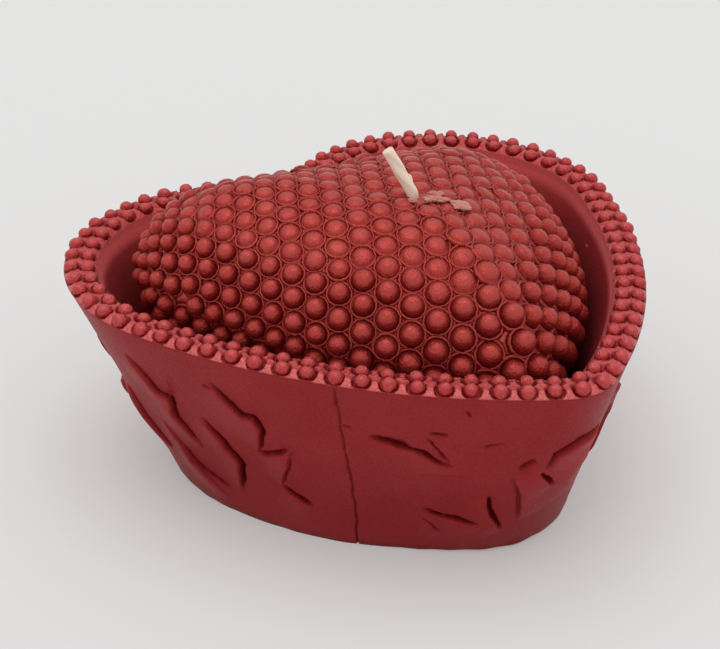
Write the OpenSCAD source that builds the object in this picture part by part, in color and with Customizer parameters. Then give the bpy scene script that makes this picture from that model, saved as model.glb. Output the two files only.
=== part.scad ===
// Beaded heart candle standing in a flared heart-shaped dish.
//
// Frame: millimetres, +Z up. The origin is at the middle of the dish's underside,
// X runs across the two lobes and the heart's tip points to -Y.
// The candle lifts straight out of the dish along +Z.

/* [Dish rim] */
// Width of the dish across both lobes, at the rim
rim_w = 115; // [100:0.5:138]
// Length of the dish from the backs of the lobes to the tip, at the rim
rim_l = 104.2; // [90:0.1:126]
// Radius of each lobe at the rim
rim_lobe_r = 33; // [30:0.5:38]
// Radius of the rounded tip at the rim
rim_tip_r = 12.1; // [10.5:0.1:16]
// Radius of the long curve from lobe to tip at the rim
rim_side_r = 112; // [90:1:160]
// Radius of the fillet in the cleft at the rim
rim_cleft_r = 3.7; // [2:0.1:6]

/* [Dish body] */
// Height of the flat rim above the table
dish_h = 38.2; // [32:0.1:46]
// Width of the flat rim, and of the wall below it
wall = 6.1; // [5:0.1:7.3]
// Thickness of the dish's floor
floor_t = 5; // [4:0.1:6]
// How far the rim reaches out past the foot at each side
flare_side = 16.2; // [12:0.1:18]
// How far the rim reaches out past the foot behind the lobes
flare_back = 17.5; // [13:0.1:19]
// How far the rim reaches out past the foot at the tip
flare_tip = 13.3; // [10:0.1:16]
// Radius of each lobe at the foot
foot_lobe_r = 24.5; // [21:0.5:28]
// Radius of the rounded tip at the foot
foot_tip_r = 19; // [16:0.5:22]
// Radius of the long curve from lobe to tip at the foot
foot_side_r = 81; // [68:1:110]
// Radius of the fillet in the cleft at the foot
foot_cleft_r = 4; // [2:0.1:6]
// Small slope that breaks the edge of the dish's underside
foot_break = 0.8; // [0.4:0.1:1.5]
// Fillet-like slope between the inner wall and the floor
floor_fillet = 2.5; // [1:0.1:4]

/* [Rim beads] */
// Diameter of a rim bead
bead_d = 3.4; // [2.8:0.1:4]
// Height of a bead's centre above the flat rim
bead_lift = 1.1; // [0.6:0.1:1.3]
// Distance from each edge of the rim to the nearer row of beads
row_inset = 1.35; // [1.2:0.05:1.6]
// Distance between neighbouring beads along a row
bead_pitch = 4.6; // [4.2:0.1:6]

/* [Candle] */
// Gap between the candle's widest level and the dish's wall at each side
side_gap = 4; // [2:0.1:6]
// The same gap behind the lobes
back_gap = 3; // [2:0.1:5]
// The same gap at the tip
tip_gap = 5.5; // [2:0.1:7]
// Gap between the candle's underside and the slope at the edge of the dish's floor
foot_gap = 2.5; // [1.5:0.1:4]
// Radius of each lobe of the candle
candle_lobe_r = 23; // [21:0.1:25]
// Radius of the candle's rounded tip
candle_tip_r = 9; // [7:0.1:12]
// Radius of the candle's long side curve
candle_side_r = 88; // [75:1:120]
// Radius of the fillet in the candle's cleft
candle_cleft_r = 6; // [4:0.1:8]
// Height of the candle's widest level above its underside
belly_h = 28; // [23:0.1:32]
// Height of the dome above the widest level
dome_h = 21.5; // [17:0.1:26]
// Distance in from the edge at which the dome would be level
dome_reach = 30; // [28:0.1:38]
// Distance over which the dome drops beside the cleft
cleft_reach = 13; // [9:0.5:20]
// Roundness of the dome's shoulder: 2 is an ellipse, more is squarer
dome_round = 1.8; // [1.6:0.05:3]
// Angle by which the dome leans down towards +X
dome_lean = 4.5; // [0:0.1:6]
// Turn of the candle in the dish, counterclockwise from above
candle_turn = -2; // [-4:0.1:4]
// How far the candle stands off the dish's middle, towards +X
candle_dx = 0; // [-1:0.1:1]
// How far the candle stands off the dish's middle, towards +Y
candle_dy = 0; // [-1:0.1:1]

/* [Wick] */
// Diameter of the wick
wick_d = 2.2; // [1.8:0.1:3]
// Straight length of wick that stands out of the dome, above its bend
wick_out = 7.9; // [6:0.1:20]
// Angle of the standing length from the vertical
wick_bend = 30; // [0:1:45]
// Radius of the bend, measured at the middle of the wick
wick_curl = 3; // [2:0.5:6]
// Heading of the bend, counterclockwise from +X
wick_heading = 143; // [0:1:359]
// Radial clearance of the wick in the wax and in its holder
wick_play = 0.05; // [0.02:0.01:0.1]

/* [Wick holder] */
// Diameter of the holder's tinplate disc
holder_d = 15; // [12:0.5:20]
// Thickness of the tinplate disc
holder_t = 0.4; // [0.3:0.05:0.6]
// Height of the neck that grips the wick
neck_h = 6; // [4:0.5:9]
// Wall of the neck
neck_wall = 0.8; // [0.4:0.1:1]
// Clearance all round the holder in the wax
holder_play = 0.1; // [0.05:0.01:0.2]

/* [Hidden] */

// Steps along each arc of a heart: cleft, lobe, side and tip
ARC_STEPS = [4, 16, 7, 7];
// Steps from the candle's underside to its widest level
SIDE_STEPS = 5;
// Steps of the dome from its edge to the level spot at the wick
DOME_STEPS = 9;
// Size of the level spot at the wick, as a share of the dome
SPOT = 0.09;
// How strongly the dome's rings crowd towards its steep shoulder
CROWDING = 1.25;
// How much faster than a straight wall the candle fills out above its underside
SIDE_CURVE = 1.2;
// Steps round the wick's bend, and sides of the wick
BEND_STEPS = 4;
WICK_SIDES = 20;
// How far a cut runs past the face it opens
CUT = 1;
$fn = 48;

// A heart is [width, length, lobe radius, tip radius, side radius, cleft radius, y of its back].
rim_heart = [rim_w, rim_l, rim_lobe_r, rim_tip_r, rim_side_r, rim_cleft_r, rim_l / 2];
foot_heart = [
    rim_w - 2 * flare_side, rim_l - flare_back - flare_tip,
    foot_lobe_r, foot_tip_r, foot_side_r, foot_cleft_r, rim_l / 2 - flare_back
];
// The dish's outline at a height, and the outline of its hollow there
function dish_heart(z) = foot_heart + (rim_heart - foot_heart) * min(1, z / dish_h);
function inset(h, d) = h - d * [2, 2, 1, 1, 1, -1, 1];
function hollow_heart(z) = inset(dish_heart(z), wall);

belly_z = floor_t + belly_h;
belly_room = hollow_heart(belly_z);
belly_heart = [
    belly_room[0] - 2 * side_gap, belly_room[1] - back_gap - tip_gap,
    candle_lobe_r, candle_tip_r, candle_side_r, candle_cleft_r,
    belly_room[6] - back_gap
];
candle_foot_heart = inset(hollow_heart(floor_t), floor_fillet + foot_gap);
wick_hole_d = wick_d + 2 * wick_play;
neck_d = wick_hole_d + 2 * neck_wall;

// Points of a heart, clockwise from the cleft, made of four tangent arcs a side
function arc(c, r, from, to, n) = [
    for (i = [0:n - 1]) let (a = from + (to - from) * i / n) c + r * [cos(a), sin(a)]
];
function heading(v) = atan2(v.y, v.x);
function heart_half(h) =
    let (
        lobe = [h[0] / 2 - h[2], h[6] - h[2]],
        tip = [0, h[6] - h[1] + h[3]],
        span = norm(lobe - tip),
        u = (lobe - tip) / span,
        lobe_arm = h[4] - h[2],
        tip_arm = h[4] - h[3],
        along = (tip_arm ^ 2 - lobe_arm ^ 2 + span ^ 2) / (2 * span),
        side = tip + along * u + sqrt(tip_arm ^ 2 - along ^ 2) * [-u.y, u.x],
        cleft = [0, lobe.y + sqrt((h[2] + h[5]) ^ 2 - lobe.x ^ 2)],
        into_lobe = heading(lobe - cleft),
        lobe_end = heading(lobe - side),
        tip_start = heading(tip - side)
    )
    concat(
        arc(cleft, h[5], -90, into_lobe, ARC_STEPS[0]),
        arc(lobe, h[2], into_lobe + 180, lobe_end, ARC_STEPS[1]),
        arc(side, h[4], lobe_end, tip_start, ARC_STEPS[2]),
        arc(tip, h[3], tip_start, -90, ARC_STEPS[3]),
        [[0, tip.y - h[3]]]
    );
function heart(h) =
    let (half = heart_half(h))
    concat(half, [for (i = [len(half) - 2:-1:1]) [-half[i].x, half[i].y]]);
function raise(points, z) = [for (p = points) [p.x, p.y, z]];

// Closed solid through a stack of rings with the same number of points each
module skin(rings) {
    m = len(rings[0]);
    last = (len(rings) - 1) * m;
    polyhedron(
        points = [for (ring = rings) each ring],
        faces = concat(
            [[for (j = [m - 1:-1:0]) j]],
            [
                for (i = [0:len(rings) - 2], j = [0:m - 1])
                let (a = i * m + j, b = i * m + (j + 1) % m)
                each [[a, b, b + m], [a, b + m, a + m]]
            ],
            [[for (j = [0:m - 1]) last + j]]
        )
    );
}

// Evenly spaced spots along a closed outline
function lengths(p) = [for (i = [0:len(p) - 1]) norm(p[(i + 1) % len(p)] - p[i])];
function sums(v) = [for (i = 0, s = 0; i < len(v); s = s + v[i], i = i + 1) s];
function spot(p, v, s, at) =
    let (i = max([for (k = [0:len(p) - 1]) if (s[k] <= at) k]))
    p[i] + (p[(i + 1) % len(p)] - p[i]) * (at - s[i]) / v[i];
function spots(p, pitch) =
    let (v = lengths(p), s = sums(v), total = s[len(s) - 1] + v[len(v) - 1], n = round(total / pitch))
    [for (k = [0:n - 1]) spot(p, v, s, (k + 0.5) * total / n)];

module bead_row(row_heart) {
    for (p = spots(heart(row_heart), bead_pitch))
        translate([p.x, p.y, dish_h + bead_lift])
            sphere(d = bead_d);
}

module dish() {
    color([0.50, 0.13, 0.15]) {
        skin([
            raise(heart(inset(dish_heart(0), foot_break)), 0),
            raise(heart(dish_heart(foot_break)), foot_break),
            raise(heart(rim_heart), dish_h),
            raise(heart(inset(rim_heart, wall)), dish_h),
            raise(heart(hollow_heart(floor_t + floor_fillet)), floor_t + floor_fillet),
            raise(heart(inset(hollow_heart(floor_t), floor_fillet)), floor_t)
        ]);
        bead_row(inset(rim_heart, row_inset));
        bead_row(inset(rim_heart, wall - row_inset));
    }
}

// The candle is drawn about its own middle, where its wick stands.
module place_candle() {
    translate([candle_dx, candle_dy, floor_t])
        rotate(candle_turn)
            children();
}

// Distance from a point to the nearest edge of an outline
function edge_gap(q, p) = min([
    for (i = [0:len(p) - 1])
    let (a = p[i], d = p[(i + 1) % len(p)] - a, t = max(0, min(1, (q - a) * d / (d * d))))
    norm(q - a - t * d)
]);
// Height of the dome above the widest level, at a distance in from an edge
function dome_rise(gap, reach) =
    dome_h * (1 - (1 - min(1, gap / reach)) ^ dome_round) ^ (1 / dome_round);
belly_edge = heart(belly_heart);
// The same outline with its cleft filled in, level with the backs of the lobes
lobe_x = belly_heart[0] / 2 - belly_heart[2];
filled_edge = [
    for (p = belly_edge)
    p.y > 0 && abs(p.x) < lobe_x ? [p.x, belly_heart[6]] : p
];
// The dome would pass over the cleft, but drops steeply beside it
function dome_at(q) = min(
    dome_rise(edge_gap(q, filled_edge), dome_reach),
    dome_rise(edge_gap(q, belly_edge), cleft_reach)
);
// Shares of the edge's distance from the middle: close together at the steep shoulder
dome_shares = [for (i = [0:DOME_STEPS]) SPOT + (1 - SPOT) * cos(90 * i / DOME_STEPS) ^ CROWDING];
function lean(p, share) = p.z - share * p.x * tan(dome_lean);
function dome_ring(share) = [
    for (p = belly_edge)
    let (q = p * share)
    [q.x, q.y, lean([q.x, q.y, belly_h + (share > SPOT ? dome_at(q) : dome_at([0, 0]))], 1)]
];
function side_ring(up) =
    let (h = candle_foot_heart + (belly_heart - candle_foot_heart) * (1 - (1 - up) ^ SIDE_CURVE))
    [for (p = heart(h)) [p.x, p.y, lean([p.x, p.y, up * belly_h], up)]];
wick_top_z = belly_h + dome_at([0, 0]);

// A round hole up from the candle's underside
module hole_up(d, depth) {
    translate([0, 0, -CUT])
        cylinder(d = d, h = depth + CUT);
}

module candle() {
    color([0.56, 0.15, 0.15])
        place_candle()
            difference() {
                skin(concat(
                    [for (i = [0:SIDE_STEPS - 1]) side_ring(i / SIDE_STEPS)],
                    [for (share = dome_shares) dome_ring(share)]
                ));
                hole_up(wick_hole_d, wick_top_z + CUT);
                hole_up(holder_d + 2 * holder_play, holder_t + holder_play);
                hole_up(neck_d + 2 * holder_play, neck_h + holder_play);
            }
}

// The wick's spine in its own upright plane: [tilt, distance along the heading, height]
wick_spine = concat(
    [[0, 0, holder_t]],
    [
        for (i = [0:BEND_STEPS])
        let (tilt = wick_bend * i / BEND_STEPS)
        [tilt, wick_curl * (1 - cos(tilt)), wick_top_z + wick_curl * sin(tilt)]
    ],
    [[
        wick_bend,
        wick_curl * (1 - cos(wick_bend)) + wick_out * sin(wick_bend),
        wick_top_z + wick_curl * sin(wick_bend) + wick_out * cos(wick_bend)
    ]]
);

module wick() {
    color([0.90, 0.82, 0.72])
        place_candle()
            rotate(wick_heading - candle_turn)
                skin([
                    for (s = wick_spine)
                    [
                        for (j = [0:WICK_SIDES - 1])
                        let (a = -360 * j / WICK_SIDES, x = wick_d / 2 * cos(a))
                        [s[1] + x * cos(s[0]), wick_d / 2 * sin(a), s[2] - x * sin(s[0])]
                    ]
                ]);
}

module wick_holder() {
    color([0.72, 0.72, 0.70])
        place_candle() {
            cylinder(d = holder_d, h = holder_t);
            difference() {
                cylinder(d = neck_d, h = neck_h);
                translate([0, 0, holder_t])
                    cylinder(d = wick_hole_d, h = neck_h);
            }
        }
}

dish();
candle();
wick();
wick_holder();
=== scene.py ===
# %% [markdown]
# # A beaded heart candle in its dish
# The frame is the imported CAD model: it says where the dish, the candle, the wick and the
# wick's holder are, and how the candle lifts out of the dish. Everything below adds looks to
# that frame. All shapes are worked out in millimetres, as on a drawing, and are turned into
# metres in one helper, so a size reads the same here as it does on a ruler.

# %% Load the frame
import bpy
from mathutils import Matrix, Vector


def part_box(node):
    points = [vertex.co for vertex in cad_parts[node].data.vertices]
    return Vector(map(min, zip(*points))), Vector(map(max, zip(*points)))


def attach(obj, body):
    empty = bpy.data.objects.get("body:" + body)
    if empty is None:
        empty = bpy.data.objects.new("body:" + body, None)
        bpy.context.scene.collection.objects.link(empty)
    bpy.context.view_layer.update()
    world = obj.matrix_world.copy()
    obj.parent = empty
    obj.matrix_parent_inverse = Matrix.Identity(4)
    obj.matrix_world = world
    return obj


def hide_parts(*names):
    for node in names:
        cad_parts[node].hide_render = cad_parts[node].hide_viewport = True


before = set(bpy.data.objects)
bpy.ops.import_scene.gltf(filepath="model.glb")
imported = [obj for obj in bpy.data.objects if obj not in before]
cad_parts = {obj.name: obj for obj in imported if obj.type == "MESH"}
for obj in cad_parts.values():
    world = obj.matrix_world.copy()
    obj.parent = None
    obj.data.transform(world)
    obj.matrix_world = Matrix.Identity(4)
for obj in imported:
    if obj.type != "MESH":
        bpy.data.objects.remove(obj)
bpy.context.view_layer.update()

import heapq
import math
import random

import bmesh
import bpy
import numpy as np
from mathutils import Matrix, Vector, noise
from mathutils.bvhtree import BVHTree
from mathutils.kdtree import KDTree

MM = 0.001
# Blender's vector noise starts from the clock unless it is given a seed
NOISE_SEED = 5
noise.seed_set(NOISE_SEED)
scene = bpy.context.scene

# %% [markdown]
# ## Camera
# The camera looks down at the dish from the side of the left lobe. Its place is worked out
# from the point it looks at, a direction and a distance, which reads more easily than raw
# coordinates. A long lens from further away keeps the heart's shape natural.

# %% Camera
AIM = Vector((20.35, 42.12, 0.0)) * MM
CAMERA_TURN = math.radians(-36.6)
CAMERA_RISE = math.radians(29.56)
CAMERA_ROLL = math.radians(1.95)
CAMERA_REACH = 387.7 * MM
CAMERA_LENS = 88.24
SENSOR_WIDTH = 36.0
NEAREST_SEEN = 0.01

camera_data = bpy.data.cameras.new("camera")
camera_data.lens = CAMERA_LENS
camera_data.sensor_width = SENSOR_WIDTH
camera_data.clip_start = NEAREST_SEEN
camera = bpy.data.objects.new("camera", camera_data)
scene.collection.objects.link(camera)
toward_camera = Vector((
    math.sin(CAMERA_TURN) * math.cos(CAMERA_RISE),
    -math.cos(CAMERA_TURN) * math.cos(CAMERA_RISE),
    math.sin(CAMERA_RISE),
))
camera.matrix_world = (
    Matrix.Translation(AIM + toward_camera * CAMERA_REACH)
    @ toward_camera.to_track_quat("Z", "Y").to_matrix().to_4x4()
    @ Matrix.Rotation(CAMERA_ROLL, 4, "Z")
)
scene.camera = camera
print("camera at", [round(c, 3) for c in camera.matrix_world.translation])

# %% [markdown]
# ## Floor and light
# The set is a pale sweep of paper under soft light. A wide sun lamp gives every part of the
# floor the same brightness, and its large angle makes the shadow's edge soft, as a softbox
# close above the table does. A pale world fills the shadows. The paper also glows faintly by
# itself, which real paper doesn't: it is a staging choice that keeps the shadows pale without
# a second lamp, whose own shadow would show.

# %% Floor and light
FLOOR_TONE = 0.57
FLOOR_GLOW = 0.22
FLOOR_HALF = 4.0
PAPER_ROUGHNESS = 0.9
PAPER_GLOSS = 0.1
GLOW_COLOUR = (1.0, 0.995, 0.99, 1)
SKY_COLOUR = (1.0, 0.99, 0.985, 1)
ZENITH = 0.80
HORIZON = 0.84
KEY_STRENGTH = 0.52
KEY_SPREAD = math.radians(42)
KEY_FROM = Vector((0.02, 0.16, 1.0))

floor_mesh = bpy.data.meshes.new("floor")
bm = bmesh.new()
bmesh.ops.create_grid(bm, x_segments=1, y_segments=1, size=FLOOR_HALF)
bm.to_mesh(floor_mesh)
bm.free()
floor = bpy.data.objects.new("floor", floor_mesh)
scene.collection.objects.link(floor)
paper = bpy.data.materials.new("paper")
paper.use_nodes = True
paper_shader = paper.node_tree.nodes["Principled BSDF"]
paper_shader.inputs["Base Color"].default_value = (FLOOR_TONE, FLOOR_TONE, FLOOR_TONE, 1)
paper_shader.inputs["Roughness"].default_value = PAPER_ROUGHNESS
paper_shader.inputs["Emission Color"].default_value = GLOW_COLOUR
paper_shader.inputs["Emission Strength"].default_value = FLOOR_GLOW
paper_shader.inputs["Specular IOR Level"].default_value = PAPER_GLOSS
floor.data.materials.append(paper)

# %% World and key lamp
world = bpy.data.worlds.new("studio")
scene.world = world
world.use_nodes = True
sky = world.node_tree.nodes["Background"]
aim = world.node_tree.nodes.new("ShaderNodeTexCoord")
height = world.node_tree.nodes.new("ShaderNodeSeparateXYZ")
fade = world.node_tree.nodes.new("ShaderNodeMapRange")
fade.inputs["To Min"].default_value = HORIZON
fade.inputs["To Max"].default_value = ZENITH
world.node_tree.links.new(aim.outputs["Generated"], height.inputs[0])
world.node_tree.links.new(height.outputs["Z"], fade.inputs["Value"])
world.node_tree.links.new(fade.outputs["Result"], sky.inputs["Strength"])
sky.inputs["Color"].default_value = SKY_COLOUR


def lamp(name, kind, strength, direction):
    """A lamp that shines from a direction towards the dish."""
    data = bpy.data.lights.new(name, kind)
    data.energy = strength
    holder = bpy.data.objects.new(name, data)
    holder.matrix_world = direction.normalized().to_track_quat("Z", "Y").to_matrix().to_4x4()
    scene.collection.objects.link(holder)
    return holder


key = lamp("key", "SUN", KEY_STRENGTH, KEY_FROM)
key.data.angle = KEY_SPREAD
scene.view_settings.view_transform = "Standard"

# %% [markdown]
# ## Heart outlines
# The dish, its hollow and the candle are all hearts. A heart could be a Bezier curve, but a
# mould maker draws it as four tangent arcs a side: cleft, lobe, side and tip. With arcs, a
# heart that is moved in by a gap is the same arcs with other radii, so walls stay even.

# %% Heart outlines
CLEFT_STEPS = 60
LOBE_STEPS = 300
SIDE_STEPS = 200
TIP_STEPS = 100


def turned(centre, radius, start, end, steps):
    """Points on an arc, in degrees."""
    angles = np.radians(np.linspace(start, end, steps, endpoint=False))
    return centre + radius * np.c_[np.cos(angles), np.sin(angles)]


def heart(size, count):
    """Evenly spaced points round a heart, clockwise from its cleft.

    The size is [width, length, lobe, tip, side and cleft radius, y of the back].
    """
    width, length, lobe_r, tip_r, side_r, cleft_r, back = size
    lobe = np.array([width / 2 - lobe_r, back - lobe_r])
    tip = np.array([0, back - length + tip_r])
    span = np.linalg.norm(lobe - tip)
    way = (lobe - tip) / span
    tip_arm = side_r - tip_r
    along = (tip_arm ** 2 - (side_r - lobe_r) ** 2 + span ** 2) / (2 * span)
    out = math.sqrt(tip_arm ** 2 - along ** 2)
    side = tip + along * way + out * np.array([-way[1], way[0]])
    cleft = np.array([0, lobe[1] + math.sqrt((lobe_r + cleft_r) ** 2 - lobe[0] ** 2)])

    def heading(v):
        return math.degrees(math.atan2(v[1], v[0]))

    half = np.vstack([
        turned(cleft, cleft_r, -90, heading(lobe - cleft), CLEFT_STEPS),
        turned(lobe, lobe_r, heading(lobe - cleft) + 180, heading(lobe - side), LOBE_STEPS),
        turned(side, side_r, heading(lobe - side), heading(tip - side), SIDE_STEPS),
        turned(tip, tip_r, heading(tip - side), -90, TIP_STEPS),
        [tip - [0, tip_r]],
    ])
    loop = np.vstack([half, (half[::-1] * [-1, 1])[1:]])
    run = np.r_[0, np.cumsum(np.linalg.norm(np.diff(loop, axis=0), axis=1))]
    stops = np.arange(count) * run[-1] / count
    return np.c_[np.interp(stops, run, loop[:, 0]), np.interp(stops, run, loop[:, 1])]


def inset(size, gap):
    """The same heart, moved in by a gap all round."""
    return np.array(size) - gap * np.array([2, 2, 1, 1, 1, -1, 1])


def level(points, z):
    """Plan points at a height."""
    return np.c_[points, np.full(len(points), float(z))]


def smooth(low, high, value):
    """0 below low, 1 above high, with soft ends."""
    t = np.clip((value - low) / (high - low), 0, 1)
    return t * t * (3 - 2 * t)

# %% [markdown]
# ## Noise
# Cast wax is never quite even. Soft noise, read at each point's own place, gives an unevenness
# that stays the same each time the script runs, which a random number per point wouldn't.

# %% Noise at points
def ripple(points, scale, seed):
    """Soft noise from -1 to 1 at points in mm."""
    flat = np.asarray(points).reshape(-1, 3)
    shift = Vector((seed * 17.3, seed * 5.1, seed * 9.7))
    values = [noise.noise(Vector(p) / scale + shift) for p in flat]
    return np.array(values).reshape(np.asarray(points).shape[:-1])


def wave(points, height, scale, seed):
    """Soft noise of a height in mm."""
    return height * ripple(points, scale, seed)

# %% [markdown]
# ## Rolled grids
# Most shapes here are one bmesh grid that is bent round a stack of rings, so its columns run
# up the shape and its rows run round it. The grid's loose sides are merged. A stack that ends
# where it began closes on itself, and any other gets a face at each end. Normals can come out
# inward on a deep dish, so the volume is measured, and a negative one is turned.

# %% Rolled grids and finished pieces
MERGE_GAP = 1e-5


def rolled(rings, marks):
    """A closed bmesh grid, rolled round rings of points, with marks stored on its points."""
    rows, columns = len(rings), len(rings[0])
    bm = bmesh.new()
    bmesh.ops.create_grid(bm, x_segments=columns, y_segments=rows - 1, size=1)
    layers = {name: bm.verts.layers.float.new(name) for name in marks}
    for v in bm.verts:
        column = round((v.co.x + 1) / 2 * columns) % columns
        row = round((v.co.y + 1) / 2 * (rows - 1))
        v.co = rings[row][column]
        for name, layer in layers.items():
            v[layer] = marks[name][row][column]
    seam = [v for v in bm.verts if v.is_boundary]
    bmesh.ops.remove_doubles(bm, verts=seam, dist=MERGE_GAP)
    bmesh.ops.holes_fill(bm, edges=[e for e in bm.edges if e.is_boundary], sides=0)
    bmesh.ops.recalc_face_normals(bm, faces=bm.faces)
    bm.normal_update()
    if bm.calc_volume(signed=True) < 0:
        print("turning", len(bm.faces), "faces the right way out")
        bmesh.ops.reverse_faces(bm, faces=bm.faces)
        bm.normal_update()
    return bm


def piece(bm, name, body, material):
    """Turns a bmesh in mm into an object in metres that rides on a body."""
    for f in bm.faces:
        f.smooth = True
    bmesh.ops.scale(bm, vec=(MM, MM, MM), verts=bm.verts)
    mesh = bpy.data.meshes.new(name)
    bm.to_mesh(mesh)
    bm.free()
    obj = bpy.data.objects.new(name, mesh)
    scene.collection.objects.link(obj)
    obj.data.materials.append(material)
    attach(obj, body)
    triangles = sum(len(p.vertices) - 2 for p in mesh.polygons)
    print(name, "has", triangles, "triangles")
    return obj

# %% [markdown]
# ## Shared effects
# Both pieces are cast from the same pearly red wax, so the grain and the colour are node
# groups. The grain group puts out a soft mottling and a height for a bump. The colour group
# mixes in a dark colour as painted shade in hollows and a pale one as a painted sheen where
# light catches the wax, from marks that are stored on each piece's own vertices.

# %% Node helpers
class Nodes:
    """A short way to write a node tree."""

    def __init__(self, tree):
        self.tree = tree

    def add(self, kind, values=None, **settings):
        node = self.tree.nodes.new(kind)
        for name, value in settings.items():
            setattr(node, name, value)
        for name, value in (values or {}).items():
            if isinstance(value, bpy.types.NodeSocket):
                self.tree.links.new(value, node.inputs[name])
            else:
                node.inputs[name].default_value = value
        return node

    def math(self, operation, a, b=0.0, clamp=False):
        node = self.add("ShaderNodeMath", {0: a, 1: b}, operation=operation, use_clamp=clamp)
        return node.outputs[0]

    def noise(self, place, scale, detail=2.0, rough=0.5):
        values = {"Vector": place, "Scale": scale, "Detail": detail, "Roughness": rough}
        return self.add("ShaderNodeTexNoise", values).outputs["Fac"]

    def ramp(self, value, low, high):
        values = {"Value": value, "From Min": low, "From Max": high}
        node = self.add("ShaderNodeMapRange", values)
        node.interpolation_type = "SMOOTHSTEP"
        return node.outputs["Result"]

    def mix(self, factor, a, b):
        node = self.add("ShaderNodeMix", data_type="RGBA")
        for name, value in (("Factor_Float", factor), ("A_Color", a), ("B_Color", b)):
            socket = next(s for s in node.inputs if s.identifier == name)
            if isinstance(value, bpy.types.NodeSocket):
                self.tree.links.new(value, socket)
            else:
                socket.default_value = value
        return next(s for s in node.outputs if s.identifier == "Result_Color")


def group(name, inputs, outputs):
    """An empty shader node group with named sockets: (tree, its inputs, its output node)."""
    tree = bpy.data.node_groups.new(name, "ShaderNodeTree")
    for label, kind, default in inputs:
        socket = tree.interface.new_socket(label, in_out="INPUT", socket_type="NodeSocket" + kind)
        if default is not None:
            socket.default_value = default
    for label, kind in outputs:
        tree.interface.new_socket(label, in_out="OUTPUT", socket_type="NodeSocket" + kind)
    into = tree.nodes.new("NodeGroupInput")
    out = tree.nodes.new("NodeGroupOutput")
    return Nodes(tree), into.outputs, out.inputs


# %% Grain of cast pearl wax
CLOUD_SCALE = 95
FINE_SCALE = 1900
SPARKLE_SCALE = 3600
PIT_SCALE = 620
PIT_RANGE = (0.71, 0.77)
SPARKLE_RANGE = (0.42, 0.72)

g, wax_in, wax_out = group(
    "wax_grain",
    [("Place", "Vector", None), ("Grain", "Float", 0.5),
     ("Pits", "Float", 0.5), ("Cloud", "Float", 0.5)],
    [("Mottle", "Float"), ("Height", "Float"), ("Sparkle", "Float")],
)
cloud = g.noise(wax_in["Place"], CLOUD_SCALE, 3)
fine = g.noise(wax_in["Place"], FINE_SCALE, 2)
sparkle = g.noise(wax_in["Place"], SPARKLE_SCALE, 1)
pit_noise = g.noise(wax_in["Place"], PIT_SCALE, 1)
pits = g.ramp(pit_noise, *PIT_RANGE)
g.tree.links.new(
    g.math("ADD", g.math("MULTIPLY", g.math("SUBTRACT", cloud, 0.5), wax_in["Cloud"]),
           g.math("MULTIPLY", g.math("SUBTRACT", fine, 0.5), wax_in["Grain"])),
    wax_out["Mottle"],
)
g.tree.links.new(
    g.math("SUBTRACT", g.math("MULTIPLY", fine, wax_in["Grain"]),
           g.math("MULTIPLY", pits, wax_in["Pits"])),
    wax_out["Height"],
)
g.tree.links.new(g.ramp(sparkle, *SPARKLE_RANGE), wax_out["Sparkle"])

# %% Colour of cast pearl wax
PALE_SHARE = 0.15

g, hue_in, hue_out = group(
    "wax_colour",
    [("ShadeTint", "Color", None), ("Face", "Color", None), ("PaleToneAndSheen", "Color", None),
     ("Mottle", "Float", 0.0), ("PaintedShade", "Float", 0.0), ("PaintedSheen", "Float", 0.0)],
    [("Color", "Color")],
)
paled = g.math("ADD", hue_in["Mottle"], PALE_SHARE, True)
toned = g.mix(paled, hue_in["Face"], hue_in["PaleToneAndSheen"])
# A painted sheen pales the colour, then painted shade darkens it
pale_tone_and_sheen = g.mix(hue_in["PaintedSheen"], toned, hue_in["PaleToneAndSheen"])
g.tree.links.new(g.mix(hue_in["PaintedShade"], pale_tone_and_sheen, hue_in["ShadeTint"]), hue_out["Color"])

# %% [markdown]
# ## Pearly wax
# Pearl pigment makes the wax shine like a dull metal, so the material is half metallic and
# its roughness sparkles a little. The mark of painted shade on the mesh also takes away gloss,
# because a hollow sees less light. The shader itself stays in each material, and only values
# come from the groups.

# %% Wax material
SPARKLE_GLOSS = 0.16
SPARKLE_BASE = 0.06
OPEN_GLINT = 0.3
HOLLOW_GLINT_LOSS = 0.28


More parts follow.
